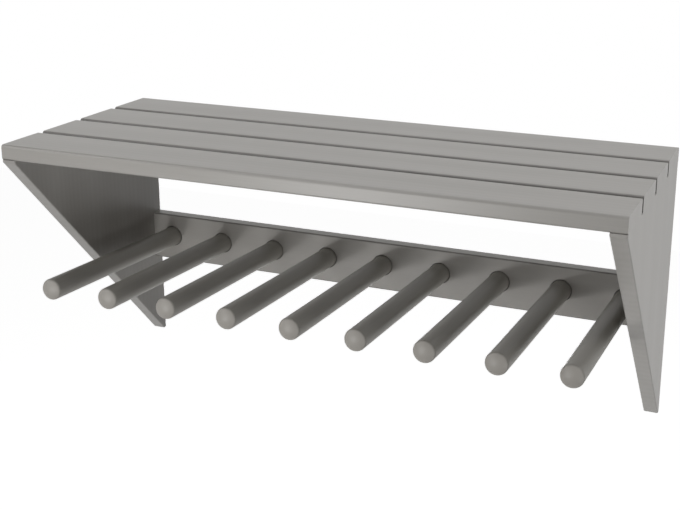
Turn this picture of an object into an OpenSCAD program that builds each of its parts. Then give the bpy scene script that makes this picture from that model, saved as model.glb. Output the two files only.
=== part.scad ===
// Wall-hung boot rack: a slatted shelf on two triangular side panels, over a rail of long round pegs.
// The origin lies on the wall, midway between the round ends of the two hanging keyholes.
// +X runs along the rack, +Y into the wall and +Z up. Sizes are in millimetres.

/* [Shelf] */
// Width of the rack over its side panels
rack_w = 900; // [880:10:1100]
// Width of one shelf slat, from front to back
slat_w = 88; // [75:1:100]
// Thickness of the shelf slats
slat_t = 22; // [20:1:28]
// Open gap between neighbouring slats
slat_gap = 7; // [3:0.5:10]
// Radius on the four long edges of a slat
slat_arris = 6; // [2:0.5:8]

/* [Side panels] */
// Height of the rack, from the top of the shelf to the feet of the side panels
rack_h = 418; // [380:2:460]
// Thickness of the side panels
panel_t = 22; // [20:1:28]
// Short upright stretch of a panel's front edge, above its slope
brow_h = 4; // [2:1:12]
// Depth of the small flat foot at a panel's lower back corner
foot_d = 6; // [3:1:30]
// Radius on the long edges of a side panel
panel_arris = 2; // [1:0.5:3]

/* [Peg rail] */
// Clear height between the underside of the slats and the top of the rail
boot_bay_h = 175; // [150:1:200]
// Height of the rail
rail_h = 80; // [72:1:100]
// Thickness of the rail
rail_t = 22; // [20:1:28]
// Radius on the four long edges of the rail
rail_arris = 3; // [1:0.5:5]

/* [Pegs] */
// Diameter of a peg
peg_d = 32; // [26:1:36]
// How far a peg stands out of the rail, along its own axis
peg_out = 345; // [280:1:380]
// Distance from a side panel's inner face to the centre line of the end peg, the others evenly between
peg_end = 37; // [30:1:60]
// Upward slope of the pegs towards their tips, in degrees
peg_tilt = 3; // [0:0.5:6]
// Depth of the blind hole that holds a peg's root
peg_root = 14; // [10:1:16]
// Height of the pegs over the middle of the rail, at its front face
peg_lift = 2; // [-4:1:4]
// Width of the eased edge round the mouth of a peg hole
mouth_ease = 1.5; // [0.5:0.5:3]
// Radius of the rounded rim of a peg's tip
tip_rim = 5; // [3:0.5:8]
// Radius of the domed face of a peg's tip
tip_dome = 24; // [20:1:60]

/* [Dowels] */
// Diameter of the glued dowels
dowel_d = 8; // [6:1:10]
// Length of the glued dowels
dowel_l = 30; // [26:1:35]
// Part of a dowel's length that stands in a slat or in a side panel's inner face
dowel_short_end = 12; // [8:1:14]
// Distance between the two dowels of a joint
dowel_spread = 30; // [24:1:40]

/* [Peg screws] */
// Diameter of the screw that holds a peg from behind the rail
peg_screw_d = 4.5; // [4:0.5:5]
// Diameter of its countersunk head
peg_screw_head_d = 9; // [8:0.5:10]
// Length of the screw, head and point included
peg_screw_l = 50; // [40:1:60]

/* [Hanging plates] */
// Height of the shelf's top over the round ends of the keyholes
hang_drop = 66; // [60:1:90]
// Length of a hanging plate
plate_l = 45; // [42:1:50]
// Width of a hanging plate
plate_w = 14; // [12:1:15]
// Thickness of a hanging plate
plate_t = 2; // [1.5:0.5:3]
// Diameter of a keyhole's round end, which a wall screw's head goes in through
keyhole_d = 9; // [8:0.5:10]
// Width of a keyhole's slot, which a wall screw's shank rides up
keyhole_slot_w = 4.5; // [4:0.5:5.5]
// Distance from the centre of the round end to the centre of the slot's upper end
keyhole_run = 12; // [10:1:14]
// Depth of the pocket behind a plate, which a wall screw's head moves in
pocket_d = 8; // [6:1:12]
// Diameter of the small screws that hold a plate
plate_screw_d = 3; // [2.5:0.5:3.5]
// Diameter of their countersunk heads
plate_screw_head_d = 6; // [5:0.5:6.5]
// Length of the small screws
plate_screw_l = 16; // [14:1:20]

/* [Hidden] */
$fn = 64;

slat_count = 4;
peg_count = 9;

// Colours of the grey stain, the bare dowels and the zinc-plated steel
stain = [0.56, 0.555, 0.535];
stain_shade = [0.50, 0.495, 0.475];
beech = [0.78, 0.66, 0.48];
zinc = [0.74, 0.75, 0.76];

// How far a cutting shape runs past the faces that it cuts
overrun = 1;
// Radial room between a glued or screwed piece and its hole
glue_gap = 0.1;
// Room left for glue past the end of a dowel
glue_room = 1;
// Room round a hanging plate in its recess, and its depth below the wood
plate_gap = 0.2;
// Room round a wall screw's head in the pocket behind a plate
head_room = 1;
// Depth of a screw head's top below the surface that it is driven into
head_inset = 0.5;
// Height of a countersunk head as a share of its diameter
head_h_share = 0.3;
// Length of a screw's point as a share of its diameter
point_share = 1.2;
// Width, span and depth of a cross recess as shares of the screw head's diameter
cross_w_share = 0.12;
cross_span_share = 0.55;
cross_depth_share = 0.2;

shelf_d = slat_count * slat_w + (slat_count - 1) * slat_gap;
shelf_top = hang_drop;
panel_top = shelf_top - slat_t;
panel_foot = shelf_top - rack_h;
rail_l = rack_w - 2 * panel_t;
rail_top = panel_top - boot_bay_h;
rail_mid = rail_top - rail_h / 2;
peg_r = peg_d / 2;
peg_pitch = (rail_l - 2 * peg_end) / (peg_count - 1);
peg_z = rail_mid + peg_lift;
dowel_long_end = dowel_l - dowel_short_end;
plate_mid = keyhole_run / 2;
plate_screw_offset = (plate_l - plate_w) / 2;
panel_mid_x = (rack_w - panel_t) / 2;

// Outline of a side panel as pairs of depth and height, anticlockwise from its foot on the wall
panel_outline = [
    [0, panel_foot],
    [0, panel_top],
    [-shelf_d, panel_top],
    [-shelf_d, panel_top - brow_h],
    [-foot_d, panel_foot]
];
// Stretches of the outline whose long edges are rounded, all but the top that the slats lie on
rounded_stretches = [[0, 1], [2, 3], [3, 4], [4, 0]];

function slat_y(i) = -shelf_d + i * (slat_w + slat_gap);
function peg_x(i) = (i - (peg_count - 1) / 2) * peg_pitch;

// Rectangle with rounded corners, from the origin
module rounded_rectangle(size, r) {
    translate([r, 0])
        square([size.x - 2 * r, size.y]);
    translate([0, r])
        square([size.x, size.y - 2 * r]);
    for (x = [r, size.x - r], y = [r, size.y - r])
        translate([x, y])
            circle(r);
}

// Bar along X with its long edges rounded, centred on X, from y and z zero upwards
module rounded_bar(length, depth, height, r) {
    rotate([90, 0, 90])
        linear_extrude(length, center = true)
            rounded_rectangle([depth, height], r);
}

// Upright long hole or plate with round ends, centred on the origin
module stadium(length, width) {
    square([width, length - width], center = true);
    for (side = [-1, 1])
        translate([0, side * (length - width) / 2])
            circle(d = width);
}

// Lays a flat outline on the wall plane and gives it a thickness, away from the wall
module into_wood(depth) {
    rotate([90, 0, 0])
        linear_extrude(depth)
            children();
}

// Countersunk wood screw that points along +Z, the top of its head at z zero
module wood_screw(d, head_d, length) {
    head_h = head_d * head_h_share;
    point_l = d * point_share;
    difference() {
        union() {
            cylinder(h = head_h, d1 = head_d, d2 = d);
            cylinder(h = length - point_l, d = d);
            translate([0, 0, length - point_l])
                cylinder(h = point_l, d1 = d, d2 = 0);
        }
        for (turn = [0, 90])
            rotate(turn)
                cube([
                    head_d * cross_span_share,
                    head_d * cross_w_share,
                    2 * head_d * cross_depth_share
                ], center = true);
    }
}

// Hole for such a screw, open towards -Z
module wood_screw_hole(d, head_d, length) {
    head_h = head_d * head_h_share;
    translate([0, 0, -overrun - head_inset])
        cylinder(h = overrun + head_inset, d = head_d + 2 * glue_gap);
    cylinder(h = head_h, d1 = head_d + 2 * glue_gap, d2 = d + 2 * glue_gap);
    cylinder(h = length + glue_gap, d = d + 2 * glue_gap);
}

// Puts children at a peg's place on the rail's front face, with +Z out along the peg
module at_peg(i) {
    translate([peg_x(i), -rail_t, peg_z])
        rotate([90 - peg_tilt, 0, 0])
            children();
}

// Puts children on the pegs' axis where it leaves the back of the rail, with +Z along the peg
module at_peg_screw(i) {
    at_peg(i)
        translate([0, 0, head_inset - rail_t / cos(peg_tilt)])
            children();
}

// Puts children at each dowel between the slats and a side panel, at the panel's top, with +Z up
module at_shelf_dowels(side) {
    for (i = [0 : slat_count - 1], k = [-1, 1])
        translate([side * panel_mid_x, slat_y(i) + slat_w / 2 + k * dowel_spread / 2, panel_top])
            children();
}

// Puts children at each dowel between the rail and a side panel, at the rail's end, with +Z outwards
module at_rail_dowels(side) {
    for (k = [-1, 1])
        translate([side * rail_l / 2, -rail_t / 2, rail_mid + k * dowel_spread / 2])
            rotate([0, side * 90, 0])
                children();
}

// Puts children at the heads of a hanging plate's screws, with +Z into the wood
module at_plate_screws(side) {
    for (k = [-1, 1])
        translate([side * panel_mid_x, -plate_gap, plate_mid + k * plate_screw_offset])
            rotate([90, 0, 0])
                children();
}

// Dowel through z zero, with its short end towards +Z
module dowel() {
    translate([0, 0, -dowel_long_end])
        cylinder(h = dowel_l, d = dowel_d);
}

// Hole for one end of a dowel, from z zero along +Z, open towards -Z
module dowel_hole(end_l) {
    translate([0, 0, -overrun])
        cylinder(h = overrun + end_l + glue_room, d = dowel_d + 2 * glue_gap);
}

// Shelf slat, counted from the front
module slat(i) {
    difference() {
        translate([0, slat_y(i), panel_top])
            rounded_bar(rack_w, slat_w, slat_t, slat_arris);
        for (side = [-1, 1])
            at_shelf_dowels(side)
                dowel_hole(dowel_short_end);
    }
}

// What a round-over takes off both long edges of a panel, along one stretch of its outline
module round_over(from, to) {
    run = to - from;
    length = norm(run);
    past = 2 * panel_arris;
    translate(from)
        rotate([0, 0, atan2(run.y, run.x)])
            translate([-past, 0, 0])
                rotate([90, 0, 90])
                    linear_extrude(length + 2 * past)
                        difference() {
                            translate([-overrun, -overrun])
                                square([panel_arris + overrun, panel_t + 2 * overrun]);
                            rounded_rectangle([panel_t, panel_t], panel_arris);
                        }
}

// Side panel board before its joints are cut, its thickness centred on X zero
module panel_board() {
    rotate([90, 0, 90])
        translate([0, 0, -panel_t / 2])
            difference() {
                linear_extrude(panel_t)
                    polygon(panel_outline);
                for (stretch = rounded_stretches)
                    round_over(panel_outline[stretch[0]], panel_outline[stretch[1]]);
            }
}

// Recess for a hanging plate, the pocket behind it and its screws' pilot holes
module plate_recess(side) {
    translate([side * panel_mid_x, overrun, plate_mid])
        into_wood(overrun + plate_t + plate_gap)
            stadium(plate_l + 2 * plate_gap, plate_w + 2 * plate_gap);
    translate([side * panel_mid_x, 0, plate_mid])
        into_wood(plate_t + plate_gap + pocket_d)
            stadium(keyhole_run + keyhole_d + 2 * head_room, keyhole_d + 2 * head_room);
    at_plate_screws(side)
        cylinder(h = plate_screw_l + glue_room, d = plate_screw_d + 2 * glue_gap);
}

module side_panel(side) {
    difference() {
        translate([side * panel_mid_x, 0, 0])
            panel_board();
        at_shelf_dowels(side)
            rotate([180, 0, 0])
                dowel_hole(dowel_long_end);
        at_rail_dowels(side)
            dowel_hole(dowel_short_end);
        plate_recess(side);
    }
}

// Blind peg hole with its eased mouth
module peg_hole(i) {
    hole_r = peg_r + glue_gap;
    at_peg(i)
        translate([0, 0, -peg_root])
            cylinder(h = peg_root + peg_r, r = hole_r);
    translate([peg_x(i), -rail_t, peg_z])
        rotate([90, 0, 0])
            translate([0, 0, -mouth_ease - overrun])
                cylinder(
                    h = mouth_ease + 2 * overrun,
                    r1 = hole_r - overrun,
                    r2 = hole_r + mouth_ease + overrun
                );
}

module peg_rail() {
    color(stain)
        difference() {
            translate([0, -rail_t, rail_top - rail_h])
                rounded_bar(rail_l, rail_t, rail_h, rail_arris);
            for (i = [0 : peg_count - 1]) {
                peg_hole(i);
                at_peg_screw(i)
                    wood_screw_hole(peg_screw_d, peg_screw_head_d, peg_screw_l);
            }
            for (side = [-1, 1])
                at_rail_dowels(side)
                    rotate([180, 0, 0])
                        dowel_hole(dowel_long_end);
        }
}

// Half section of a peg, with its root at y = -peg_root and its tip at y = peg_out
module peg_section() {
    dome_y = peg_out - tip_dome;
    rim_x = peg_r - tip_rim;
    rim_y = dome_y + sqrt(pow(tip_dome - tip_rim, 2) - pow(rim_x, 2));
    reach = tip_dome / (tip_dome - tip_rim) + overrun;
    translate([0, -peg_root])
        square([peg_r, rim_y + peg_root]);
    translate([rim_x, rim_y])
        circle(tip_rim);
    intersection() {
        translate([0, dome_y])
            circle(tip_dome);
        polygon([[0, dome_y], [rim_x * reach, dome_y + (rim_y - dome_y) * reach], [0, peg_out + tip_dome]]);
    }
}

module peg(i) {
    color(stain_shade)
        difference() {
            at_peg(i)
                rotate_extrude()
                    peg_section();
            at_peg_screw(i)
                cylinder(h = peg_screw_l + glue_room, d = peg_screw_d + 2 * glue_gap);
        }
}

module shelf_dowels(side) {
    color(beech)
        at_shelf_dowels(side)
            dowel();
}

module rail_dowels(side) {
    color(beech)
        at_rail_dowels(side)
            dowel();
}

module hanging_plate(side) {
    color(zinc)
        difference() {
            translate([side * panel_mid_x, -plate_gap, plate_mid])
                into_wood(plate_t)
                    stadium(plate_l, plate_w);
            translate([side * panel_mid_x, overrun, 0])
                into_wood(plate_t + 2 * overrun) {
                    circle(d = keyhole_d);
                    translate([-keyhole_slot_w / 2, 0])
                        square([keyhole_slot_w, keyhole_run]);
                    translate([0, keyhole_run])
                        circle(d = keyhole_slot_w);
                }
            at_plate_screws(side)
                wood_screw_hole(plate_screw_d, plate_screw_head_d, plate_screw_l);
        }
}

module front_slat() { color(stain) slat(0); }
module second_slat() { color(stain) slat(1); }
module third_slat() { color(stain) slat(2); }
module back_slat() { color(stain) slat(3); }
module left_side_panel() { color(stain) side_panel(-1); }
module right_side_panel() { color(stain) side_panel(1); }
module peg_1() { peg(0); }
module peg_2() { peg(1); }
module peg_3() { peg(2); }
module peg_4() { peg(3); }
module peg_5() { peg(4); }
module peg_6() { peg(5); }
module peg_7() { peg(6); }
module peg_8() { peg(7); }
module peg_9() { peg(8); }
module left_shelf_dowels() { shelf_dowels(-1); }
module right_shelf_dowels() { shelf_dowels(1); }
module left_rail_dowels() { rail_dowels(-1); }
module right_rail_dowels() { rail_dowels(1); }
module left_hanging_plate() { hanging_plate(-1); }
module right_hanging_plate() { hanging_plate(1); }

module peg_screws() {
    color(zinc)
        for (i = [0 : peg_count - 1])
            at_peg_screw(i)
                wood_screw(peg_screw_d, peg_screw_head_d, peg_screw_l);
}

module plate_screws() {
    color(zinc)
        for (side = [-1, 1])
            at_plate_screws(side)
                wood_screw(plate_screw_d, plate_screw_head_d, plate_screw_l);
}

front_slat();
second_slat();
third_slat();
back_slat();
left_side_panel();
right_side_panel();
peg_rail();
peg_1();
peg_2();
peg_3();
peg_4();
peg_5();
peg_6();
peg_7();
peg_8();
peg_9();
left_shelf_dowels();
right_shelf_dowels();
left_rail_dowels();
right_rail_dowels();
peg_screws();
left_hanging_plate();
right_hanging_plate();
plate_screws();
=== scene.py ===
"""Looks of a wall-hung boot rack: a slatted shelf over a rail of long turned pegs, in grey-stained wood.

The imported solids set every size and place. The slats, pegs, screws and dowels are built again on their
solids with finer shapes. The side panels, the rail and the hanging plates keep their solids and get a
finish.
"""
import logging
import math
from dataclasses import dataclass, replace
from enum import Enum
from typing import Any

import bpy
from mathutils import Euler, Matrix, Vector


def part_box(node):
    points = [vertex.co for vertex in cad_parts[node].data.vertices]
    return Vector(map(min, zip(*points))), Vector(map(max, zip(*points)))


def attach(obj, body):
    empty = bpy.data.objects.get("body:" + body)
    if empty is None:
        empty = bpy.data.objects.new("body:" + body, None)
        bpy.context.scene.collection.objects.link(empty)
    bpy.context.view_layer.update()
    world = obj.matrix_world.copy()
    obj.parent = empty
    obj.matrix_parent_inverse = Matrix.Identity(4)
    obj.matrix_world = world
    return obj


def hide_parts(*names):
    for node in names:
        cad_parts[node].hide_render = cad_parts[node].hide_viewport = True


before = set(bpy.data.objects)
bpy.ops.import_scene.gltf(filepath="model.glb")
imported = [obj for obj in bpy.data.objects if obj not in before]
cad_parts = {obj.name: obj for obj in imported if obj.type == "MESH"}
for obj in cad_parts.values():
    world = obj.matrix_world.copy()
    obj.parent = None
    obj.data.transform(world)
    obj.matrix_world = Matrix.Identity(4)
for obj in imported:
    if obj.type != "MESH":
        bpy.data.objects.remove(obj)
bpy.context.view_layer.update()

BODY = "root"
MM = 0.001
PICTURE_W = 680
PICTURE_H = 510
BLACK = (0.0, 0.0, 0.0, 1.0)
WHITE = (1.0, 1.0, 1.0, 1.0)

log = logging.getLogger("boot_rack")


def linear(code: str) -> tuple[float, float, float, float]:
    """Turns an sRGB hex colour into a linear one with full alpha.

    Args:
        code: The colour as six hex digits after a hash sign.

    Returns:
        Red, green, blue and alpha for a colour socket.
    """
    knee, slope, lift, power = 0.04045, 12.92, 0.055, 2.4
    shares = [int(code[i:i + 2], 16) / 255 for i in (1, 3, 5)]
    red, green, blue = (c / slope if c <= knee else ((c + lift) / (1 + lift)) ** power for c in shares)
    return red, green, blue, 1.0


def per_metre(*periods_mm: float) -> tuple[float, ...]:
    """Scales for a pattern whose features repeat at these distances, in millimetres, along X, Y and Z."""
    return tuple(1 / (period * MM) for period in periods_mm)


def add(tree: bpy.types.NodeTree, kind: str, inputs: dict | list | None = None,
        **settings: Any) -> bpy.types.Node:
    """Adds a node to a tree, sets its properties and fills its inputs.

    Args:
        tree: The tree that gets the node.
        kind: The node's type name.
        inputs: What goes into the inputs, by their names or in their order. Each is a plain value, an output
            socket to link from, or a node, which stands for the first of its outputs in use.
        settings: Properties of the node.

    Returns:
        The new node.
    """
    made = tree.nodes.new(kind)
    for name, value in settings.items():
        setattr(made, name, value)
    filled = inputs if isinstance(inputs, dict) else dict(enumerate(inputs or []))
    for key, value in filled.items():
        if isinstance(value, bpy.types.Node):
            value = next(socket for socket in value.outputs if socket.enabled)
        if isinstance(value, bpy.types.NodeSocket):
            tree.links.new(value, made.inputs[key])
        else:
            made.inputs[key].default_value = value
    return made


def empty_material(name: str) -> bpy.types.Material:
    """Makes a material whose node tree is still empty.

    Args:
        name: The material's name.

    Returns:
        The material.
    """
    made = bpy.data.materials.new(name)
    made.use_nodes = True
    made.node_tree.nodes.clear()
    return made


class Grain(Enum):
    """Which way the wood's fibres run, as the turn that lays the pattern's X axis along them."""

    ALONG_RACK = (0.0, 0.0, 0.0)
    UPRIGHT = (0.0, math.radians(-90), 0.0)
    OUT_OF_WALL = (0.0, 0.0, math.radians(-90))


@dataclass(frozen=True)
class StainedWood:
    """Beech with a grey water stain under satin lacquer, sanded, with the lacquer put on by spray.

    The stain leaves an even grey with faint long streaks, and the lacquer gives a soft sheen without clear
    reflections. The colour is darkened towards black on the rounded arrises and on the faces in gaps, as
    painted shade, and can be paler on a turned end, as painted light.

    Attributes:
        pale: Colour of the softer, paler fibres.
        deep: Colour of the denser streaks.
        arris: How much of its colour the wood keeps on the rounded arrises, from 0 to 1; the rest is painted
            shade.
        flank_shade: How much of its colour the wood keeps on the faces that look to the front or back, from 0
            to 1; the rest is painted shade for the gaps between parts.
        end: Colour of a turned end, paler than the rest as painted light on the lit tip, or nothing where it
            is as the rest.
        end_lean: Squared cosine of the face's lean at which the end's colour starts and is full.
        tone_mm: Length and width of the broad patches of tone.
        streak_mm: Length and width of the fine streaks, drawn a little coarser than real pores so they show.
        figure_mm: Distance between the growth lines on a flat-sawn face.
        figure_reach: Length, width and depth of a growth line, in those distances.
        parts: How much the patches, the streaks and the growth lines each add to the tone.
        spread: The tones that become all deep and all pale.
        roughness: Roughness of the lacquer.
        roughness_swing: How far the streaks move it up and down.
        relief: Share of the raised fibres' height that the lacquer leaves open.
        relief_mm: Height of the raised fibres.
    """

    pale: str = "#AAA7A3"
    deep: str = "#9F9C97"
    arris: float = 0.9
    flank_shade: float = 1.0
    end: str = ""
    end_lean: tuple[float, float] = (0.1, 0.7)
    tone_mm: tuple[float, float] = (420.0, 45.0)
    streak_mm: tuple[float, float] = (70.0, 1.6)
    figure_mm: float = 11.0
    figure_reach: tuple[float, float, float] = (16.0, 1.0, 3.0)
    parts: tuple[float, float, float] = (0.6, 0.3, 0.1)
    spread: tuple[float, float] = (0.32, 0.68)
    roughness: float = 0.4
    roughness_swing: float = 0.05
    relief: float = 0.35
    relief_mm: float = 0.03

    def material(self, name: str, grain: Grain, centre: Vector, face: Vector) -> bpy.types.Material:
        """Makes this finish for one piece.

        Args:
            name: The material's name.
            grain: Which way the piece's fibres run.
            centre: The middle of the piece, which the pattern is centred on.
            face: Direction that the piece's wide faces look in, which tells the arrises from the faces.

        Returns:
            The material.
        """
        made = empty_material(name)
        tree = made.node_tree
        place = add(tree, "ShaderNodeTexCoord")
        laid = add(tree, "ShaderNodeMapping", {"Vector": place.outputs["Object"], "Location": centre,
                                               "Rotation": grain.value}, vector_type="TEXTURE")
        length, width = self.streak_mm
        fine = add(tree, "ShaderNodeVectorMath", [laid, per_metre(length, width, width)],
                   operation="MULTIPLY")
        streak = add(tree, "ShaderNodeTexNoise", {"Vector": fine, "Scale": 1.0, "Detail": 3.0,
                                                  "Roughness": 0.6})
        stain = self.stain(tree, laid, streak)
        low, high = self.roughness - self.roughness_swing, self.roughness + self.roughness_swing
        gloss = add(tree, "ShaderNodeMapRange", {"Value": streak, "To Min": low, "To Max": high})
        relief = add(tree, "ShaderNodeBump", {"Height": streak, "Strength": self.relief,
                                              "Distance": self.relief_mm * MM})
        surface = add(tree, "ShaderNodeBsdfPrincipled",
                      {"Base Color": self.painted_shade_and_light(tree, stain, place.outputs["Normal"], face),
                       "Roughness": gloss, "IOR": 1.5, "Normal": relief})
        add(tree, "ShaderNodeOutputMaterial", {"Surface": surface})
        return made

    def stain(self, tree: bpy.types.NodeTree, laid: bpy.types.Node, streak: bpy.types.Node) -> bpy.types.Node:
        """Mixes the stain's two colours by patches, streaks and growth lines.

        Args:
            tree: The material's tree.
            laid: The coordinates, with X along the fibres.
            streak: The fine streaks.

        Returns:
            The node that holds the colour.
        """
        length, width = self.tone_mm
        broad = add(tree, "ShaderNodeVectorMath", [laid, per_metre(length, width, width)],
                    operation="MULTIPLY")
        tone = add(tree, "ShaderNodeTexNoise", {"Vector": broad, "Scale": 1.0, "Detail": 2.0})
        periods = [reach * self.figure_mm for reach in self.figure_reach]
        lines = add(tree, "ShaderNodeVectorMath", [laid, per_metre(*periods)], operation="MULTIPLY")
        # At this scale the waves repeat about once in each unit of their coordinates.
        figure = add(tree, "ShaderNodeTexWave",
                     {"Vector": lines, "Scale": 0.32, "Distortion": 5.0, "Detail": 2.0, "Detail Scale": 0.6},
                     wave_type="BANDS", bands_direction="Y", wave_profile="SIN")
        tone_part, streak_part, figure_part = self.parts
        shade = add(tree, "ShaderNodeMath", [tone, tone_part], operation="MULTIPLY")
        shade = add(tree, "ShaderNodeMath", [streak, streak_part, shade], operation="MULTIPLY_ADD")
        shade = add(tree, "ShaderNodeMath", [figure.outputs["Fac"], figure_part, shade],
                    operation="MULTIPLY_ADD")
        low, high = self.spread
        share = add(tree, "ShaderNodeMapRange", {"Value": shade, "From Min": low, "From Max": high})
        return add(tree, "ShaderNodeMix", {"Factor": share, "A": linear(self.deep), "B": linear(self.pale)},
                   data_type="RGBA")

    def painted_shade_and_light(self, tree: bpy.types.NodeTree, stain: bpy.types.Node, normal: bpy.types.NodeSocket,
                face: Vector) -> bpy.types.Node:
        """Paints shade on the arrises and flanks by darkening the stain towards black, and paints light on a
        turned end with a paler colour.

        Args:
            tree: The material's tree.
            stain: The stain's colour.
            normal: The surface's direction.
            face: Direction that the piece's wide faces look in.

        Returns:
            The node that holds the colour.
        """
        lean = add(tree, "ShaderNodeVectorMath", [normal, face], operation="DOT_PRODUCT")
        square = add(tree, "ShaderNodeMath", [lean, lean], operation="MULTIPLY")
        rest = add(tree, "ShaderNodeMath", [1.0, square], operation="SUBTRACT")
        # The product is a quarter at most, halfway round an arris.
        rounding = add(tree, "ShaderNodeMath", [square, rest], operation="MULTIPLY")
        # Painted shade: the arrises are darkened towards black.
        edge = add(tree, "ShaderNodeMath", [rounding, 4 * (1 - self.arris)], operation="MULTIPLY")
        colour = add(tree, "ShaderNodeMix", {"Factor": edge, "A": stain, "B": BLACK}, data_type="RGBA")
        # Painted shade: the faces that look to the front or back are darkened towards black.
        if self.flank_shade < 1:
            turned = add(tree, "ShaderNodeSeparateXYZ", [normal])
            across = add(tree, "ShaderNodeMath", [turned.outputs["Y"], turned.outputs["Y"]],
                         operation="MULTIPLY")
            painted_flank_shade = add(tree, "ShaderNodeMath", [across, 1 - self.flank_shade], operation="MULTIPLY")
            colour = add(tree, "ShaderNodeMix", {"Factor": painted_flank_shade, "A": colour, "B": BLACK},
                         data_type="RGBA")
        # Painted light: a turned end, which looks along the piece's face direction, gets a paler colour.
        if self.end:
            low, high = self.end_lean
            facing = add(tree, "ShaderNodeMapRange", {"Value": square, "From Min": low, "From Max": high},
                         interpolation_type="SMOOTHSTEP")
            colour = add(tree, "ShaderNodeMix", {"Factor": facing, "A": colour, "B": linear(self.end)},
                         data_type="RGBA")
        return colour


@dataclass(frozen=True)
class BareBeech:
    """Untreated beech, as a milled dowel: warm and matt, with short dark flecks along the fibres.

    Attributes:
        pale: Colour of the wood.
        fleck: Colour of the flecks.
        fleck_mm: Length and width of a fleck.
        spread: The tones of the pattern where a fleck starts and is full.
        roughness: Roughness of the milled surface.
        relief: Share of the fibres' height that shows.
        relief_mm: Height of the raised fibres.
    """

    pale: str = "#D9BE92"
    fleck: str = "#B48F5E"
    fleck_mm: tuple[float, float] = (3.0, 0.5)
    spread: tuple[float, float] = (0.5, 0.68)
    roughness: float = 0.7
    relief: float = 0.3
    relief_mm: float = 0.1

    def material(self, name: str, grain: Grain) -> bpy.types.Material:
        """Makes this finish for dowels whose fibres run one way.

        Args:
            name: The material's name.
            grain: Which way the fibres run.

        Returns:
            The material.
        """
        made = empty_material(name)
        tree = made.node_tree
        place = add(tree, "ShaderNodeTexCoord")
        laid = add(tree, "ShaderNodeMapping", {"Vector": place.outputs["Object"], "Rotation": grain.value},
                   vector_type="TEXTURE")
        length, width = self.fleck_mm
        fine = add(tree, "ShaderNodeVectorMath", [laid, per_metre(length, width, width)],
                   operation="MULTIPLY")
        noise = add(tree, "ShaderNodeTexNoise", {"Vector": fine, "Scale": 1.0, "Detail": 2.0})
        low, high = self.spread
        flecks = add(tree, "ShaderNodeMapRange", {"Value": noise, "From Min": low, "From Max": high})
        colour = add(tree, "ShaderNodeMix", {"Factor": flecks, "A": linear(self.pale),
                                             "B": linear(self.fleck)}, data_type="RGBA")
        relief = add(tree, "ShaderNodeBump", {"Height": noise, "Strength": self.relief,
                                              "Distance": self.relief_mm * MM})
        surface = add(tree, "ShaderNodeBsdfPrincipled",
                      {"Base Color": colour, "Roughness": self.roughness, "Normal": relief})
        add(tree, "ShaderNodeOutputMaterial", {"Surface": surface})
        return made


@dataclass(frozen=True)
class ZincPlating:
    """Bright zinc plating on pressed or rolled steel: a soft cloudy shine with fine rolling lines.

    Attributes:
        bright: Colour of the clean plating.
        cloudy: Colour where the plating has dulled.
        cloud_mm: Size of the cloudy patches.
        line_mm: Length and width of the rolling lines.
        roughness: Lowest and highest roughness.
        relief: Share of the rolling lines' depth that the plating leaves.
        relief_mm: Depth of the rolling lines.
    """

    bright: str = "#D3D6DA"
    cloudy: str = "#B4B7B9"
    cloud_mm: float = 7.0
    line_mm: tuple[float, float] = (12.0, 0.25)
    roughness: tuple[float, float] = (0.26, 0.42)
    relief: float = 0.2
    relief_mm: float = 0.02

    def material(self, name: str) -> bpy.types.Material:
        """Makes this finish, with its rolling lines upright.

        Args:
            name: The material's name.

        Returns:
            The material.
        """
        made = empty_material(name)
        tree = made.node_tree
        place = add(tree, "ShaderNodeTexCoord")
        length, width = self.line_mm
        fine = add(tree, "ShaderNodeVectorMath", [place.outputs["Object"], per_metre(width, width, length)],
                   operation="MULTIPLY")
        cloud = add(tree, "ShaderNodeTexNoise", {"Vector": place.outputs["Object"],
                                                 "Scale": per_metre(self.cloud_mm)[0], "Detail": 3.0})
        line = add(tree, "ShaderNodeTexNoise", {"Vector": fine, "Scale": 1.0, "Detail": 1.0})
        colour = add(tree, "ShaderNodeMix", {"Factor": cloud, "A": linear(self.bright),
                                             "B": linear(self.cloudy)}, data_type="RGBA")
        low, high = self.roughness
        gloss = add(tree, "ShaderNodeMapRange", {"Value": cloud, "To Min": low, "To Max": high})
        relief = add(tree, "ShaderNodeBump", {"Height": line, "Strength": self.relief,
                                              "Distance": self.relief_mm * MM})
        surface = add(tree, "ShaderNodeBsdfPrincipled",
                      {"Base Color": colour, "Metallic": 1.0, "Roughness": gloss, "Normal": relief})
        add(tree, "ShaderNodeOutputMaterial", {"Surface": surface})
        return made


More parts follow.
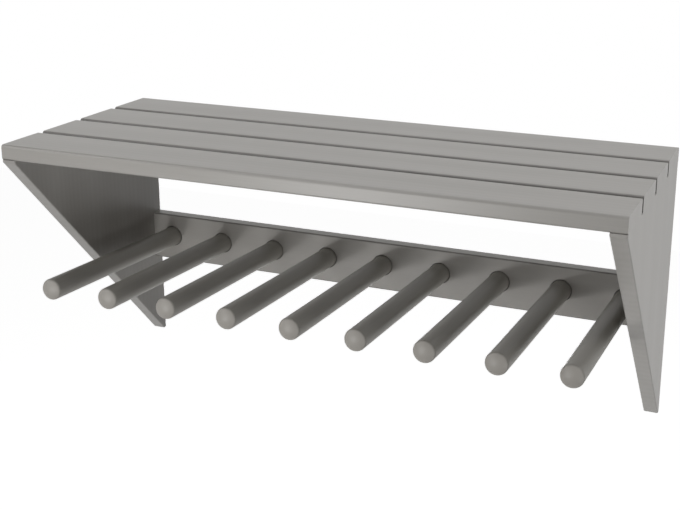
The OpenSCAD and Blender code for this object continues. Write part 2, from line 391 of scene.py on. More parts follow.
class ShapeTree:
    """A Geometry Nodes tree that puts one shape on every point of a mesh, with its sizes as inputs.

    Attributes:
        SHARP: Angle between two faces from which their edge stays sharp.
        EASE_STEPS: Number of faces across an eased edge.
        FACE_WEIGHT: How strongly large faces set the shading of small ones beside them, up to 100.
    """

    SHARP = math.radians(32)
    EASE_STEPS = 3
    FACE_WEIGHT = 100

    def __init__(self, name: str, *sizes: str) -> None:
        """Starts the tree.

        Args:
            name: The tree's name.
            sizes: Names of the shape's sizes, in metres.
        """
        self.tree = bpy.data.node_groups.new(name, "GeometryNodeTree")
        face = self.tree.interface
        face.new_socket("Points", in_out="INPUT", socket_type="NodeSocketGeometry")
        self.sockets = {size: face.new_socket(size, in_out="INPUT", socket_type="NodeSocketFloat")
                        for size in sizes}
        self.sockets["Turn"] = face.new_socket("Turn", in_out="INPUT", socket_type="NodeSocketVector")
        self.sockets["Finish"] = face.new_socket("Finish", in_out="INPUT", socket_type="NodeSocketMaterial")
        face.new_socket("Pieces", in_out="OUTPUT", socket_type="NodeSocketGeometry")
        self.given = self.add("NodeGroupInput").outputs

    def add(self, kind: str, inputs: dict | list | None = None, **settings: Any) -> bpy.types.Node:
        """Adds a node to this tree, as the function of the same name does."""
        return add(self.tree, kind, inputs, **settings)

    def close(self, shape: bpy.types.Node) -> None:
        """Ends the tree: the shape goes on every point, turned, made real and given its finish.

        Args:
            shape: The node that makes the shape, at its own origin.
        """
        set_out = self.add("GeometryNodeInstanceOnPoints", {"Points": self.given["Points"], "Instance": shape,
                                                            "Rotation": self.given["Turn"]})
        real = self.add("GeometryNodeRealizeInstances", [set_out])
        dressed = self.add("GeometryNodeSetMaterial", {"Geometry": real, "Material": self.given["Finish"]})
        self.add("NodeGroupOutput", {"Pieces": dressed})

    def make(self, name: str, points: list[Vector], turn: Euler, finish: bpy.types.Material,
             ease: float = 0.0, **sizes: float) -> bpy.types.Object:
        """Runs the tree and keeps its result as a plain mesh at the origin.

        Args:
            name: The piece's name.
            points: Where the shape goes.
            turn: How it is turned.
            finish: Its material.
            ease: Width of the eased edges that the tree marks, or 0 for none.
            sizes: The shape's sizes, by the names that the tree gives them with _ for a space.

        Returns:
            The finished piece.
        """
        start = bpy.data.meshes.new(name + "_points")
        start.from_pydata(points, [], [])
        piece = bpy.data.objects.new(name, start)
        bpy.context.scene.collection.objects.link(piece)
        modifier = piece.modifiers.new("shape", "NODES")
        modifier.node_group = self.tree
        named = {key.replace("_", " "): size for key, size in sizes.items()}
        for key, value in {"Turn": tuple(turn), "Finish": finish, **named}.items():
            modifier[self.sockets[key].identifier] = value
        if ease:
            rounding = piece.modifiers.new("ease", "BEVEL")
            rounding.limit_method = "WEIGHT"
            rounding.width = ease
            rounding.segments = self.EASE_STEPS
        self.settle(piece)
        piece.data.set_sharp_from_angle(angle=self.SHARP)
        normals = piece.modifiers.new("normals", "WEIGHTED_NORMAL")
        normals.keep_sharp = True
        normals.weight = self.FACE_WEIGHT
        self.settle(piece)
        piece.data.name = name
        return piece

    @staticmethod
    def settle(piece: bpy.types.Object) -> None:
        """Turns a piece's modifiers into plain mesh.

        Args:
            piece: The piece, which gets the new mesh and loses its modifiers.
        """
        graph = bpy.context.evaluated_depsgraph_get()
        mesh = bpy.data.meshes.new_from_object(piece.evaluated_get(graph), depsgraph=graph)
        piece.modifiers.clear()
        piece.data = mesh


class SlatTree(ShapeTree):
    """A shelf slat along X: a rounded section with its upper end edges marked to be eased.

    Attributes:
        CORNER_POINTS: Number of points on a rounded corner.
        END_ZONE: How near to a slat's end the marked edges lie.
    """

    CORNER_POINTS = 8
    END_ZONE = 0.1 * MM

    def __init__(self) -> None:
        """Makes the section, draws it along the slat and marks the edges."""
        super().__init__("shelf slat", "Length", "Width", "Thickness", "Arris", "Under arris")
        given = self.given
        section = self.add("GeometryNodeCurvePrimitiveQuadrilateral",
                           {"Width": given["Width"], "Height": given["Thickness"]}, mode="RECTANGLE")
        # The section's -Y becomes up, and its upper corners get their own radius.
        corner = self.add("ShaderNodeSeparateXYZ", [self.add("GeometryNodeInputPosition")])
        upper = self.add("ShaderNodeMath", [corner.outputs["Y"], 0.0], operation="LESS_THAN")
        more = self.add("ShaderNodeMath", [given["Arris"], given["Under arris"]], operation="SUBTRACT")
        radius = self.add("ShaderNodeMath", [upper, more, given["Under arris"]], operation="MULTIPLY_ADD")
        rounded = self.add("GeometryNodeFilletCurve", {"Curve": section, "Count": self.CORNER_POINTS,
                                                       "Radius": radius}, mode="POLY")
        half = self.add("ShaderNodeMath", [given["Length"], 0.5], operation="MULTIPLY")
        back = self.add("ShaderNodeMath", [given["Length"], -0.5], operation="MULTIPLY")
        path = self.add("GeometryNodeCurvePrimitiveLine",
                        {"Start": self.add("ShaderNodeCombineXYZ", {"X": back}),
                         "End": self.add("ShaderNodeCombineXYZ", {"X": half})})
        bar = self.add("GeometryNodeCurveToMesh", {"Curve": path, "Profile Curve": rounded,
                                                   "Fill Caps": True})
        # Marks the edges of both ends above the lower corners.
        where = self.add("ShaderNodeSeparateXYZ", [self.add("GeometryNodeInputPosition")])
        out = self.add("ShaderNodeMath", [where.outputs["X"]], operation="ABSOLUTE")
        at_end = self.add("ShaderNodeMath", [out, half, self.END_ZONE], operation="COMPARE")
        low = self.add("ShaderNodeMath", [given["Thickness"], -0.5, given["Under arris"]],
                       operation="MULTIPLY_ADD")
        above = self.add("ShaderNodeMath", [where.outputs["Z"], low], operation="GREATER_THAN")
        weight = self.add("ShaderNodeMath", [at_end, above], operation="MULTIPLY")
        self.close(self.add("GeometryNodeStoreNamedAttribute",
                            {"Geometry": bar, "Name": "bevel_weight_edge", "Value": weight},
                            data_type="FLOAT", domain="EDGE"))


class PegTree(ShapeTree):
    """A turned peg along Z: a plain shaft with a rounded rim and a domed face at its tip.

    A circle is drawn along the axis, from the root's end to the tip's middle. All its rings but the first lie
    on the tip, evenly by their angle: on the dome up to where it meets the rim, then on the rim.

    Attributes:
        RINGS: Number of rings.
        SIDES: Number of faces round the peg.
        MERGED: Distance at which vertices become one, in the tip's middle.
    """

    RINGS = 18
    SIDES = 64
    MERGED = 0.01 * MM

    def __init__(self) -> None:
        """Works out each ring's place and radius, and draws the circle through them."""
        super().__init__("turned peg", "Radius", "Out", "Rim", "Dome")
        given = self.given
        quarter = math.pi / 2
        dots = self.add("GeometryNodeMeshLine", {"Count": self.RINGS})
        wire = self.add("GeometryNodeMeshToCurve", {"Mesh": dots})
        index = self.add("GeometryNodeInputIndex")
        # The middles of the rim's and the dome's circles, and the angle at which they meet.
        rim_x = self.add("ShaderNodeMath", [given["Radius"], given["Rim"]], operation="SUBTRACT")
        inner = self.add("ShaderNodeMath", [given["Dome"], given["Rim"]], operation="SUBTRACT")
        dome_z = self.add("ShaderNodeMath", [given["Out"], given["Dome"]], operation="SUBTRACT")
        meeting = self.add("ShaderNodeMath", [rim_x, inner], operation="DIVIDE")
        turn_over = self.add("ShaderNodeMath", [meeting], operation="ARCSINE")
        level_share = self.add("ShaderNodeMath", [turn_over], operation="COSINE")
        rise = self.add("ShaderNodeMath", [inner, level_share], operation="MULTIPLY")
        rim_z = self.add("ShaderNodeMath", [dome_z, rise], operation="ADD")
        # Each ring's angle off the axis, counted back from the tip's middle.
        back_count = self.add("ShaderNodeMath", [self.RINGS - 1.0, index], operation="SUBTRACT")
        share = self.add("ShaderNodeMath", [back_count, self.RINGS - 2.0], operation="DIVIDE")
        swing = self.add("ShaderNodeMath", [share, quarter], operation="MULTIPLY")
        angle = self.add("ShaderNodeMath", [swing, quarter], operation="MINIMUM")
        # A ring past the meeting angle lies on the rim's circle, any other on the dome's.
        on_rim = self.add("ShaderNodeMath", [angle, turn_over], operation="GREATER_THAN")
        gap = self.add("ShaderNodeMath", [given["Rim"], given["Dome"]], operation="SUBTRACT")
        bend = self.add("ShaderNodeMath", [on_rim, gap, given["Dome"]], operation="MULTIPLY_ADD")
        mid_x = self.add("ShaderNodeMath", [on_rim, rim_x], operation="MULTIPLY")
        step = self.add("ShaderNodeMath", [rim_z, dome_z], operation="SUBTRACT")
        mid_z = self.add("ShaderNodeMath", [on_rim, step, dome_z], operation="MULTIPLY_ADD")
        sine = self.add("ShaderNodeMath", [angle], operation="SINE")
        cosine = self.add("ShaderNodeMath", [angle], operation="COSINE")
        radius = self.add("ShaderNodeMath", [bend, sine, mid_x], operation="MULTIPLY_ADD")
        height = self.add("ShaderNodeMath", [bend, cosine, mid_z], operation="MULTIPLY_ADD")
        # The first ring goes down to the root's end.
        at_root = self.add("ShaderNodeMath", [index, 0.5], operation="LESS_THAN")
        drop = self.add("ShaderNodeMath", [at_root, height], operation="MULTIPLY")
        level = self.add("ShaderNodeMath", [height, drop], operation="SUBTRACT")
        place = self.add("ShaderNodeCombineXYZ", {"Z": level})
        axis = self.add("GeometryNodeSetPosition", {"Geometry": wire, "Position": place})
        circle = self.add("GeometryNodeCurvePrimitiveCircle", {"Resolution": self.SIDES, "Radius": 1.0})
        turned = self.add("GeometryNodeCurveToMesh", {"Curve": axis, "Profile Curve": circle,
                                                      "Scale": radius, "Fill Caps": True})
        self.close(self.add("GeometryNodeMergeByDistance", {"Geometry": turned, "Distance": self.MERGED}))


class TurnedTree(ShapeTree):
    """A round piece along Z, bent from a grid: across the grid it goes round, along it from end to end.

    Attributes:
        MERGED: Distance at which vertices become one, along the seam and in the ends' middles.
    """

    MERGED = 0.005 * MM

    def grid(self, sides: int, rows: int | bpy.types.Node) -> None:
        """Lays the grid and keeps its vertices' turn, row and row count for the piece's own sums.

        Args:
            sides: Number of faces round the piece.
            rows: Number of vertex rows, as a number or a node.
        """
        self.flat = self.add("GeometryNodeMeshGrid", {"Size X": 1.0, "Size Y": 1.0, "Vertices X": sides + 1,
                                                      "Vertices Y": rows})
        where = self.add("ShaderNodeSeparateXYZ", [self.add("GeometryNodeInputPosition")])
        self.round_share = self.add("ShaderNodeMath", [where.outputs["X"], 0.5], operation="ADD")
        self.angle = self.add("ShaderNodeMath", [self.round_share, math.tau], operation="MULTIPLY")
        self.last = self.add("ShaderNodeMath", [rows, 1.0], operation="SUBTRACT")
        along = self.add("ShaderNodeMath", [where.outputs["Y"], 0.5], operation="ADD")
        counted = self.add("ShaderNodeMath", [along, self.last], operation="MULTIPLY")
        self.row = self.add("ShaderNodeMath", [counted], operation="ROUND")

    def bend(self, radius: bpy.types.Node, level: bpy.types.Node) -> bpy.types.Node:
        """Moves the grid's vertices to their places, then closes its seam and its two ends.

        Args:
            radius: Each vertex's distance from the axis.
            level: Its height.

        Returns:
            The node that holds the closed piece.
        """
        cosine = self.add("ShaderNodeMath", [self.angle], operation="COSINE")
        sine = self.add("ShaderNodeMath", [self.angle], operation="SINE")
        across = self.add("ShaderNodeMath", [radius, cosine], operation="MULTIPLY")
        up = self.add("ShaderNodeMath", [radius, sine], operation="MULTIPLY")
        place = self.add("ShaderNodeCombineXYZ", {"X": across, "Y": up, "Z": level})
        bent = self.add("GeometryNodeSetPosition", {"Geometry": self.flat, "Position": place})
        return self.add("GeometryNodeMergeByDistance", {"Geometry": bent, "Distance": self.MERGED})


class DowelTree(TurnedTree):
    """A fluted dowel centred on its point, with chamfered ends.

    Of its six rows of vertices, the first and last are the middles of its end faces, the ones beside them are
    the rims of those faces, and the middle two bound its body.

    Attributes:
        FLUTES: Number of flutes.
        SIDES: Number of faces round the dowel.
        ROWS: Number of rows of vertices.
    """

    FLUTES = 16
    SIDES = 64
    ROWS = 6

    def __init__(self) -> None:
        """Works out each row's place and radius."""
        super().__init__("fluted dowel", "Length", "Radius", "Chamfer", "Flute")
        given = self.given
        self.grid(self.SIDES, self.ROWS)
        # Rows from the nearer end: 0 is its middle, 1 its rim, 2 the end of the body.
        from_far = self.add("ShaderNodeMath", [self.ROWS - 1.0, self.row], operation="SUBTRACT")
        from_end = self.add("ShaderNodeMath", [self.row, from_far], operation="MINIMUM")
        on_body = self.add("ShaderNodeMath", [from_end, 1.5], operation="GREATER_THAN")
        on_face = self.add("ShaderNodeMath", [1.0, on_body], operation="SUBTRACT")
        # The flutes run along the body only.
        around = self.add("ShaderNodeMath", [self.angle, float(self.FLUTES)], operation="MULTIPLY")
        wave = self.add("ShaderNodeMath", [around], operation="COSINE")
        share = self.add("ShaderNodeMath", [wave, 0.5, 0.5], operation="MULTIPLY_ADD")
        groove = self.add("ShaderNodeMath", [share, given["Flute"]], operation="MULTIPLY")
        cut = self.add("ShaderNodeMath", [groove, on_body], operation="MULTIPLY")
        body = self.add("ShaderNodeMath", [given["Radius"], cut], operation="SUBTRACT")
        slope = self.add("ShaderNodeMath", [given["Chamfer"], on_face], operation="MULTIPLY")
        rim = self.add("ShaderNodeMath", [body, slope], operation="SUBTRACT")
        off_axis = self.add("ShaderNodeMath", [from_end, 0.5], operation="GREATER_THAN")
        radius = self.add("ShaderNodeMath", [rim, off_axis], operation="MULTIPLY")
        half = self.add("ShaderNodeMath", [given["Length"], 0.5], operation="MULTIPLY")
        inset = self.add("ShaderNodeMath", [given["Chamfer"], on_body], operation="MULTIPLY")
        reach = self.add("ShaderNodeMath", [half, inset], operation="SUBTRACT")
        from_middle = self.add("ShaderNodeMath", [self.row, (self.ROWS - 1) / 2], operation="SUBTRACT")
        side = self.add("ShaderNodeMath", [from_middle], operation="SIGN")
        level = self.add("ShaderNodeMath", [reach, side], operation="MULTIPLY")
        self.close(self.bend(radius, level))


class ScrewTree(TurnedTree):
    """A countersunk wood screw along Z from its head's top, with a thread, a point and a cross recess.

    Its first two rows of vertices are the middle and the rim of its head's top, and the others run down its
    stem. Two crossed blocks cut the recess.

    Attributes:
        SIDES: Number of faces round the screw.
        ROWS_IN_TURN: Number of rows of vertices in one turn of the thread.
        THREAD_DEPTH: Depth of the thread as a share of the screw's radius.
        RECESS: Length, width and height of a block as shares of the head's diameter.
    """

    SIDES = 24
    ROWS_IN_TURN = 4.0
    THREAD_DEPTH = 0.32
    RECESS = (0.55, 0.12, 0.4)

    def __init__(self) -> None:
        """Works out each row's place and radius, and cuts the recess."""
        super().__init__("cross recess screw", "Length", "Radius", "Head", "Head height", "Point", "Plain",
                         "Pitch")
        given = self.given
        # The number of rows follows from the number of turns that fit on the stem.
        stem = self.add("ShaderNodeMath", [given["Length"], given["Head height"]], operation="SUBTRACT")
        turns = self.add("ShaderNodeMath", [stem, given["Pitch"]], operation="DIVIDE")
        steps = self.add("ShaderNodeMath", [turns, self.ROWS_IN_TURN], operation="MULTIPLY")
        whole = self.add("ShaderNodeMath", [steps], operation="CEIL")
        self.grid(self.SIDES, self.add("ShaderNodeMath", [whole, 3.0], operation="ADD"))
        # How far down the stem each row lies.
        past_head = self.add("ShaderNodeMath", [self.row, 2.0], operation="SUBTRACT")
        below = self.add("ShaderNodeMath", [past_head, 0.0], operation="MAXIMUM")
        stem_rows = self.add("ShaderNodeMath", [self.last, 2.0], operation="SUBTRACT")
        down = self.add("ShaderNodeMath", [below, stem_rows], operation="DIVIDE")
        on_stem = self.add("ShaderNodeMath", [self.row, 1.5], operation="GREATER_THAN")
        depth = self.add("ShaderNodeMath", [stem, down, given["Head height"]], operation="MULTIPLY_ADD")
        level = self.add("ShaderNodeMath", [depth, on_stem], operation="MULTIPLY")
        # The stem's radius, or the head's in the first two rows.
        stem_r = self.add("ShaderNodeMath", [self.pointed(level), self.threaded(level)],
                          operation="MULTIPLY")
        off_axis = self.add("ShaderNodeMath", [self.row, 0.5], operation="GREATER_THAN")
        head_r = self.add("ShaderNodeMath", [given["Head"], off_axis], operation="MULTIPLY")
        on_head = self.add("ShaderNodeMath", [1.0, on_stem], operation="SUBTRACT")
        in_head = self.add("ShaderNodeMath", [head_r, on_head], operation="MULTIPLY")
        radius = self.add("ShaderNodeMath", [stem_r, on_stem, in_head], operation="MULTIPLY_ADD")
        self.close(self.recessed(self.bend(radius, level)))

    def pointed(self, level: bpy.types.Node) -> bpy.types.Node:
        """The radius over the thread, which tapers to nothing at the point.

        Args:
            level: Distance below the head's top.

        Returns:
            The node that holds the radius.
        """
        given = self.given
        to_tip = self.add("ShaderNodeMath", [given["Length"], level], operation="SUBTRACT")
        taper = self.add("ShaderNodeMath", [to_tip, given["Point"]], operation="DIVIDE")
        full = self.add("ShaderNodeMath", [taper, 1.0], operation="MINIMUM")
        return self.add("ShaderNodeMath", [given["Radius"], full], operation="MULTIPLY")

    def threaded(self, level: bpy.types.Node) -> bpy.types.Node:
        """The share of the radius that the thread leaves, which runs in over one turn below the plain shank.

        Args:
            level: Distance below the head's top.

        Returns:
            The node that holds the share.
        """
        given = self.given
        turns = self.add("ShaderNodeMath", [level, given["Pitch"]], operation="DIVIDE")
        winding = self.add("ShaderNodeMath", [turns, self.round_share], operation="ADD")
        phase = self.add("ShaderNodeMath", [winding], operation="FRACT")
        # Each turn is a groove with a round bottom between two crests.
        centred = self.add("ShaderNodeMath", [phase, 2.0, -1.0], operation="MULTIPLY_ADD")
        ridge = self.add("ShaderNodeMath", [centred], operation="ABSOLUTE")
        crest = self.add("ShaderNodeMath", [ridge, 2.0], operation="POWER")
        root = self.add("ShaderNodeMath", [1.0, crest], operation="SUBTRACT")
        # The groove deepens over one turn below the plain shank.
        past_plain = self.add("ShaderNodeMath", [level, given["Plain"]], operation="SUBTRACT")
        run_in = self.add("ShaderNodeMath", [past_plain, given["Pitch"]], operation="DIVIDE")
        started = self.add("ShaderNodeMath", [run_in, 0.0], operation="MAXIMUM")
        full = self.add("ShaderNodeMath", [started, 1.0], operation="MINIMUM")
        cut = self.add("ShaderNodeMath", [root, full], operation="MULTIPLY")
        depth = self.add("ShaderNodeMath", [cut, self.THREAD_DEPTH], operation="MULTIPLY")
        return self.add("ShaderNodeMath", [1.0, depth], operation="SUBTRACT")

    def recessed(self, solid: bpy.types.Node) -> bpy.types.Node:
        """Cuts the cross recess into the head.

        Args:
            solid: The node that holds the whole screw.

        Returns:
            The node that holds the cut one.
        """
        width = self.add("ShaderNodeMath", [self.given["Head"], 2.0], operation="MULTIPLY")
        sizes = [self.add("ShaderNodeMath", [width, share], operation="MULTIPLY") for share in self.RECESS]
        first, second = [
            self.add("GeometryNodeMeshCube", {"Size": self.add("ShaderNodeCombineXYZ",
                                                               [sizes[n] for n in order])})
            for order in ((0, 1, 2), (1, 0, 2))]
        recess = self.add("GeometryNodeMeshBoolean", {"Mesh 1": solid, "Mesh 2": first},
                          operation="DIFFERENCE", solver="EXACT")
        self.tree.links.new(second.outputs["Mesh"], recess.inputs["Mesh 2"])
        return recess


def middle(node: str) -> Vector:
    """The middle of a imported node's box."""
    low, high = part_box(node)
    return (low + high) / 2


def span(node: str) -> Vector:
    """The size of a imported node's box."""
    low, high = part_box(node)
    return high - low


def stand_for(piece: bpy.types.Object, slot: str, *nodes: str) -> None:
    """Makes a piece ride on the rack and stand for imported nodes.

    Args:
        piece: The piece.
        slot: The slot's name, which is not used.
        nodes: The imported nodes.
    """
    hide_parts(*nodes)
    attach(piece, BODY)
    log.info("%s stands for %s", piece.name, ", ".join(nodes))


def dress(node: str, finish: bpy.types.Material) -> None:
    """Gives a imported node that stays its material.

    Args:
        node: The node.
        finish: Its material.
    """
    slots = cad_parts[node].data.materials
    slots.clear()
    slots.append(finish)
    log.info("%s is dressed in %s", node, finish.name)


@dataclass
class SlatShelf:
    """The four shelf slats, which lie on the side panels.

    Attributes:
        arris: Radius on the upper long edges of a slat.
        under_arris: Radius on its lower long edges.
        end_ease: Width of the eased upper edge at a slat's ends.
        gap_shade: How much of its colour a slat keeps on its faces in the gaps; the rest is painted shade
            for the gaps between the slats.
        nodes: The slats' nodes, from front to back.
    """

    arris: float = 4.5 * MM
    under_arris: float = 3 * MM
    end_ease: float = 1 * MM
    gap_shade: float = 0.36
    nodes: tuple[str, ...] = ("front_slat", "second_slat", "third_slat", "back_slat")

    def build(self, finish: StainedWood) -> None:
        """Builds the slats from one tree, with painted shade on the faces in the gaps of all but the front
        one.

        Args:
            finish: The slats' finish.
        """
        tree = SlatTree()
        for number, node in enumerate(self.nodes):
            size, centre = span(node), middle(node)
            # Painted shade: all but the front slat are darkened on the faces that look into the gaps.
            look = replace(finish, flank_shade=self.gap_shade) if number else finish
            # The material holds the stain and its painted shade.
            wood = look.material(node + "_stain", Grain.ALONG_RACK, centre, Vector((0, 0, 1)))
            piece = tree.make(node + "_board", [centre], Euler(), wood, self.end_ease, Length=size.x,
                              Width=size.y, Thickness=size.z, Arris=self.arris,
                              Under_arris=self.under_arris)
            stand_for(piece, "shelf_slats", node)


@dataclass
class SidePanels:
    """The two side panels, whose solids stay. The left one has darker colours, as painted shade for its
    shaded inside.

    Attributes:
        shaded_left_pale: Colour of the left panel's paler fibres, darkened as painted shade.
        shaded_left_deep: Colour of its denser streaks, darkened as painted shade.
    """

    shaded_left_pale: str = "#9E9B98"
    shaded_left_deep: str = "#94918C"

    def build(self, finish: StainedWood) -> None:
        """Dresses the panels, with the grain upright.

        Args:
            finish: The right panel's finish, which the left one shares but for its colours.
        """
        # Painted shade: the left panel gets the darker colours.
        darker = replace(finish, pale=self.shaded_left_pale, deep=self.shaded_left_deep)
        for node, wood in (("left_side_panel", darker), ("right_side_panel", finish)):
            dress(node, wood.material(node + "_stain", Grain.UPRIGHT, middle(node), Vector((1, 0, 0))))


@dataclass(frozen=True)
class WoodScrew:
    """Sizes of a countersunk wood screw with a cross recess.

    Attributes:
        length: Length, head and point included.
        diameter: Diameter over the thread.
        head: Diameter of the head.
        pitch: Distance between the turns of the thread.
        plain: Length from the head's top to where the thread starts.
        head_share: Height of the head as a share of its diameter.
        point_share: Length of the point as a share of the screw's diameter.
    """

    length: float
    diameter: float
    head: float
    pitch: float
    plain: float
    head_share: float = 0.3
    point_share: float = 1.2

    def drive(self, tree: ScrewTree, name: str, points: list[Vector], turn: Euler,
              finish: bpy.types.Material) -> bpy.types.Object:
        """Puts such a screw at each point, its head's top there.

        Args:
            tree: The tree that shapes the screws.
            name: The piece's name.
            points: Middle of each head's top.
            turn: Turn that brings +Z to the way the screws point.
            finish: Their material.

        Returns:
            The screws as one piece.
        """
        return tree.make(name, points, turn, finish, Length=self.length, Radius=self.diameter / 2,
                         Head=self.head / 2, Head_height=self.head * self.head_share,
                         Point=self.diameter * self.point_share, Plain=self.plain, Pitch=self.pitch)


@dataclass
class PegRail:
    """The rail, whose solid stays, its nine turned pegs and the screws behind them.

    Attributes:
        tilt: Upward slope of the pegs towards their tips.
        rim: Radius of the rounded rim of a tip.
        dome: Radius of the domed face of a tip.
        root: Length of a peg inside the rail.
        inset: Depth of a screw head's top below the rail's back.
        mouth_shade: How much of its colour the rail keeps on its eased edges and in the mouths of its holes;
            the rest is painted shade.
        count: Number of pegs.
        screw: The screw that holds a peg.
    """

    tilt: float = math.radians(3)
    rim: float = 5 * MM
    dome: float = 24 * MM
    root: float = 14 * MM
    inset: float = 0.5 * MM
    mouth_shade: float = 0.5
    count: int = 9
    screw: WoodScrew = WoodScrew(length=50 * MM, diameter=4.5 * MM, head=9 * MM, pitch=2 * MM,
                                 plain=18 * MM)

    def axis(self, node: str) -> tuple[Vector, float, float]:
        """Finds a peg's axis from its packed box.

        Args:
            node: The peg's node.

        Returns:
            The middle of its root's end, its radius and its length.
        """
        low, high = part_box(node)
        radius = (high.x - low.x) / 2
        root = Vector(((low.x + high.x) / 2, high.y - radius * math.sin(self.tilt),
                       low.z + radius * math.cos(self.tilt)))
        length = self.dome + (root.y - self.dome - low.y) / math.cos(self.tilt)
        return root, radius, length

    def build(self, board: StainedWood, turned: StainedWood, tree: ScrewTree,
              steel: bpy.types.Material) -> None:
        """Dresses the rail and builds the pegs and their screws.

        Args:
            board: Finish of the rail.
            turned: Finish of the pegs.
            tree: The tree that shapes the screws.
            steel: The screws' material.
        """
        # Painted shade: the rail is darkened on its eased edges and in the mouths of the pegs' holes.
        shaded_rail = replace(board, arris=self.mouth_shade)
        outwards = Vector((0, 1, 0))
        dress("peg_rail", shaded_rail.material("peg_rail_stain", Grain.ALONG_RACK, middle("peg_rail"), outwards))
        pegs = PegTree()
        turn = Euler((math.radians(90) - self.tilt, 0, 0))
        along = Vector((0, -math.cos(self.tilt), math.sin(self.tilt)))
        behind = self.root + self.inset - span("peg_rail").y / math.cos(self.tilt)
        heads = []
        for number in range(1, self.count + 1):
            node = f"peg_{number}"
            root, radius, length = self.axis(node)
            heads.append(root + behind * along)
            wood = turned.material(node + "_stain", Grain.OUT_OF_WALL, root, outwards)
            piece = pegs.make(f"turned_{node}", [root], turn, wood, Radius=radius, Out=length,
                              Rim=self.rim, Dome=self.dome)
            stand_for(piece, "pegs", node)
        screws = self.screw.drive(tree, "threaded_peg_screws", heads, turn, steel)
        stand_for(screws, "screws", "peg_screws")


@dataclass
class HangingHardware:
    """The two keyhole plates, whose solids stay, and their screws.

    Attributes:
        plates: The plates' nodes.
        screw: The screw that holds a plate, near each of its round ends.
    """

    plates: tuple[str, ...] = ("left_hanging_plate", "right_hanging_plate")
    screw: WoodScrew = WoodScrew(length=16 * MM, diameter=3 * MM, head=6 * MM, pitch=1.35 * MM,
                                 plain=4 * MM)

    def build(self, tree: ScrewTree, steel: bpy.types.Material) -> None:
        """Dresses the plates and builds their screws.

        Args:
            tree: The tree that shapes the screws.
            steel: The material of the plates and screws.
        """
        heads = []
        for node in self.plates:
            dress(node, steel)
            size, centre = span(node), middle(node)
            for side in (-1, 1):
                heads.append(centre + Vector((0, size.y / 2, side * (size.z - size.x) / 2)))
        into_wood = Euler((math.radians(90), 0, 0))
        screws = self.screw.drive(tree, "threaded_plate_screws", heads, into_wood, steel)
        stand_for(screws, "screws", "plate_screws")


@dataclass
class Joinery:
    """The glued, fluted dowels inside the joints.

    Attributes:
        spread: Distance between the two dowels of a joint.
        radius: Radius of a dowel.
        chamfer: Width of the chamfer at its ends.
        flute: Depth of its flutes, which let air and glue out.
    """

    spread: float = 30 * MM
    radius: float = 4 * MM
    chamfer: float = 1 * MM
    flute: float = 0.3 * MM

    def build(self, slats: tuple[str, ...], finish: BareBeech) -> None:
        """Builds the dowels from one tree, each with the grain along it.

        Args:
            slats: Nodes of the slats that the shelf's dowels hold.
            finish: The dowels' finish.
        """
        tree = DowelTree()
        upright = finish.material("bare_beech_upright", Grain.UPRIGHT)
        lying = finish.material("bare_beech_lying", Grain.ALONG_RACK)
        pair = (-self.spread / 2, self.spread / 2)
        for side in ("left", "right"):
            node = f"{side}_shelf_dowels"
            centre = middle(node)
            points = [Vector((centre.x, middle(slat).y + step, centre.z)) for slat in slats for step in pair]
            self.glue_in(tree, node, points, Euler(), upright, span(node).z)
            node = f"{side}_rail_dowels"
            points = [middle(node) + Vector((0, 0, step)) for step in pair]
            self.glue_in(tree, node, points, Euler((0, math.radians(90), 0)), lying, span(node).x)

    def glue_in(self, tree: DowelTree, node: str, points: list[Vector], turn: Euler,
                wood: bpy.types.Material, length: float) -> None:
        """Builds the dowels of one node."""
        piece = tree.make("fluted_" + node, points, turn, wood, Length=length, Radius=self.radius,
                          Chamfer=self.chamfer, Flute=self.flute)
        stand_for(piece, "dowels", node)


@dataclass(frozen=True)
class Lamp:
    """A soft square lamp.

    Attributes:
        name: What it lights.
        place: Where it stands, in metres.
        size: Width of its face, in metres.
        watts: Its power.
    """

    name: str
    place: tuple[float, float, float]
    size: float
    watts: float

    def light(self, aim: tuple[float, float, float]) -> None:
        """Puts the lamp in the scene.

        Args:
            aim: The point that it faces, in metres.
        """
        data = bpy.data.lights.new(self.name, "AREA")
        data.shape = "SQUARE"
        data.size = self.size
        data.energy = self.watts
        lamp = bpy.data.objects.new(self.name, data)
        lamp.location = self.place
        ray = Vector(aim) - Vector(self.place)
        lamp.rotation_euler = ray.to_track_quat("-Z", "Y").to_euler()
        lamp.visible_camera = False
        bpy.context.scene.collection.objects.link(lamp)


LAMPS = (
    Lamp("overhead", (-0.3, 0.0, 2.0), 1.5, 13.6),
    Lamp("high_left", (-1.5, -1.5, 1.4), 1.2, 14.6),
    Lamp("high_right", (1.7, -0.3, 1.4), 1.2, 14.9),
    Lamp("low_right", (1.9, -1.2, -0.8), 1.0, 9.8),
    Lamp("back_left", (-1.0, 2.2, -0.8), 1.2, 38.0),
    Lamp("upper_key", (-0.35, -1.6, 0.0), 0.3, 3.0),
    Lamp("middle_key", (-0.5, -1.7, -0.35), 0.15, 4.6),
    Lamp("right_key", (-0.25, -1.7, -0.35), 0.15, 2.2),
)


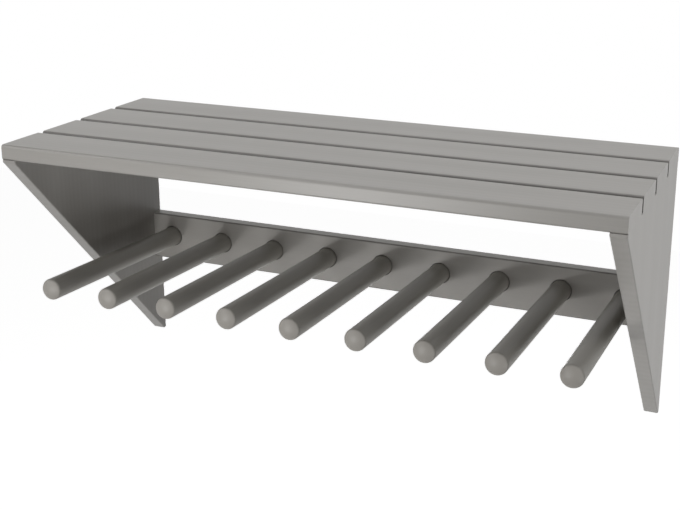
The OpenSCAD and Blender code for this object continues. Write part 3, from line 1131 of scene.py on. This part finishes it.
@dataclass
class Studio:
    """The camera, the lamps, the pale floor and the white surroundings.

    Attributes:
        place: Where the camera stands, in metres.
        heading: How far the camera turns left of the wall's normal, in degrees.
        down: How far it looks down, in degrees.
        roll: How far it leans, in degrees.
        focal_px: Focal length in pixels of the picture.
        centre_px: Where the optical axis meets the picture, from its top left corner.
        rack: The point of the rack that the lamps face, in metres.
        ceiling: Brightness of the studio's ceiling in reflections.
        ceiling_rise: Sine of the angle above the horizon at which the ceiling starts and is full.
        floor_z: Height of the floor below the rack.
        floor_size: Width of the floor.
        floor_paint: Colour of the floor in the lamps' light.
        floor_glow: Brightness that the camera and reflections see on the floor besides that light.
    """

    place: tuple[float, float, float] = (0.6819, -1.7145, 0.47462)
    heading: float = 22.515
    down: float = 16.514
    roll: float = 0.179
    focal_px: float = 1197.5
    centre_px: tuple[float, float] = (371.16, 204.23)
    rack: tuple[float, float, float] = (0.0, -0.2, -0.1)
    ceiling: float = 0.1
    ceiling_rise: tuple[float, float] = (0.35, 0.85)
    floor_z: float = -2.4
    floor_size: float = 14.0
    floor_paint: str = "#E6E5E2"
    floor_glow: float = 0.97

    def camera(self) -> None:
        """Makes the camera that sees the rack as the photograph does."""
        data = bpy.data.cameras.new("camera")
        data.sensor_width = 36.0
        data.lens = self.focal_px * data.sensor_width / PICTURE_W
        data.shift_x = (PICTURE_W / 2 - self.centre_px[0]) / PICTURE_W
        data.shift_y = (self.centre_px[1] - PICTURE_H / 2) / PICTURE_W
        data.clip_start = 0.05
        data.clip_end = 50.0
        camera = bpy.data.objects.new("camera", data)
        aim = Matrix.Rotation(math.radians(self.heading), 4, "Z")
        aim @= Matrix.Rotation(math.radians(90 - self.down), 4, "X")
        aim @= Matrix.Rotation(math.radians(self.roll), 4, "Z")
        camera.matrix_world = Matrix.Translation(self.place) @ aim
        bpy.context.scene.collection.objects.link(camera)
        bpy.context.scene.camera = camera

    def surroundings(self) -> None:
        """Makes the world.

        The camera sees it as white, a reflection sees it as a studio with a dim ceiling, and it gives the
        surfaces no other light.
        """
        world = bpy.data.worlds.new("surroundings")
        world.use_nodes = True
        tree = world.node_tree
        tree.nodes.clear()
        ray = add(tree, "ShaderNodeLightPath").outputs
        way = add(tree, "ShaderNodeTexCoord")
        rise = add(tree, "ShaderNodeSeparateXYZ", [way.outputs["Generated"]])
        low, high = self.ceiling_rise
        ceiling = add(tree, "ShaderNodeMapRange",
                      {"Value": rise.outputs["Z"], "From Min": low, "From Max": high, "To Min": 1.0,
                       "To Max": self.ceiling}, interpolation_type="SMOOTHSTEP")
        bright = add(tree, "ShaderNodeMath", [ray["Is Camera Ray"], ceiling], operation="MAXIMUM")
        mirror = add(tree, "ShaderNodeMath", [ray["Is Camera Ray"], ray["Is Glossy Ray"]],
                     operation="MAXIMUM")
        seen = add(tree, "ShaderNodeMath", [mirror, ray["Is Transmission Ray"]], operation="MAXIMUM")
        strength = add(tree, "ShaderNodeMath", [seen, bright], operation="MULTIPLY")
        glow = add(tree, "ShaderNodeBackground", {"Color": WHITE, "Strength": strength})
        add(tree, "ShaderNodeOutputWorld", {"Surface": glow})
        bpy.context.scene.world = world

    def floor(self) -> None:
        """Lays the pale floor, which the camera sees as white where no shadow falls."""
        half = self.floor_size / 2
        mesh = bpy.data.meshes.new("floor")
        corners = [(-half, -half), (half, -half), (half, half), (-half, half)]
        mesh.from_pydata([(x, y, self.floor_z) for x, y in corners], [], [(0, 1, 2, 3)])
        made = empty_material("pale_floor")
        tree = made.node_tree
        ray = add(tree, "ShaderNodeLightPath").outputs
        paint = add(tree, "ShaderNodeBsdfDiffuse", {"Color": linear(self.floor_paint)})
        glow = add(tree, "ShaderNodeEmission", {"Color": WHITE, "Strength": self.floor_glow})
        dark = add(tree, "ShaderNodeEmission", {"Strength": 0.0})
        seen = add(tree, "ShaderNodeMath", [ray["Is Camera Ray"], ray["Is Glossy Ray"]], operation="MAXIMUM")
        white = add(tree, "ShaderNodeMixShader", [seen, dark, glow])
        both = add(tree, "ShaderNodeAddShader", [paint, white])
        add(tree, "ShaderNodeOutputMaterial", {"Surface": both})
        mesh.materials.append(made)
        floor = bpy.data.objects.new("floor", mesh)
        bpy.context.scene.collection.objects.link(floor)

    def build(self) -> None:
        """Sets up the whole studio."""
        self.camera()
        self.surroundings()
        self.floor()
        for lamp in LAMPS:
            lamp.light(self.rack)
        bpy.context.scene.view_settings.view_transform = "Standard"


def main() -> None:
    """Builds the rack's sub-assemblies and the studio, in order."""
    logging.basicConfig(level=logging.INFO, format="%(name)s: %(message)s")
    board = StainedWood()
    # The pegs' paler end colour is painted light on their lit tips.
    turned = StainedWood(pale="#95928C", deep="#88857F", arris=1.0, end="#A09C96", roughness=0.5)
    screw_tree = ScrewTree()
    steel = ZincPlating().material("zinc_plated_steel")
    shelf = SlatShelf()
    shelf.build(board)
    SidePanels().build(board)
    PegRail().build(board, turned, screw_tree, steel)
    HangingHardware().build(screw_tree, steel)
    Joinery().build(shelf.nodes, BareBeech())
    Studio().build()


if __name__ == "__main__":
    main()
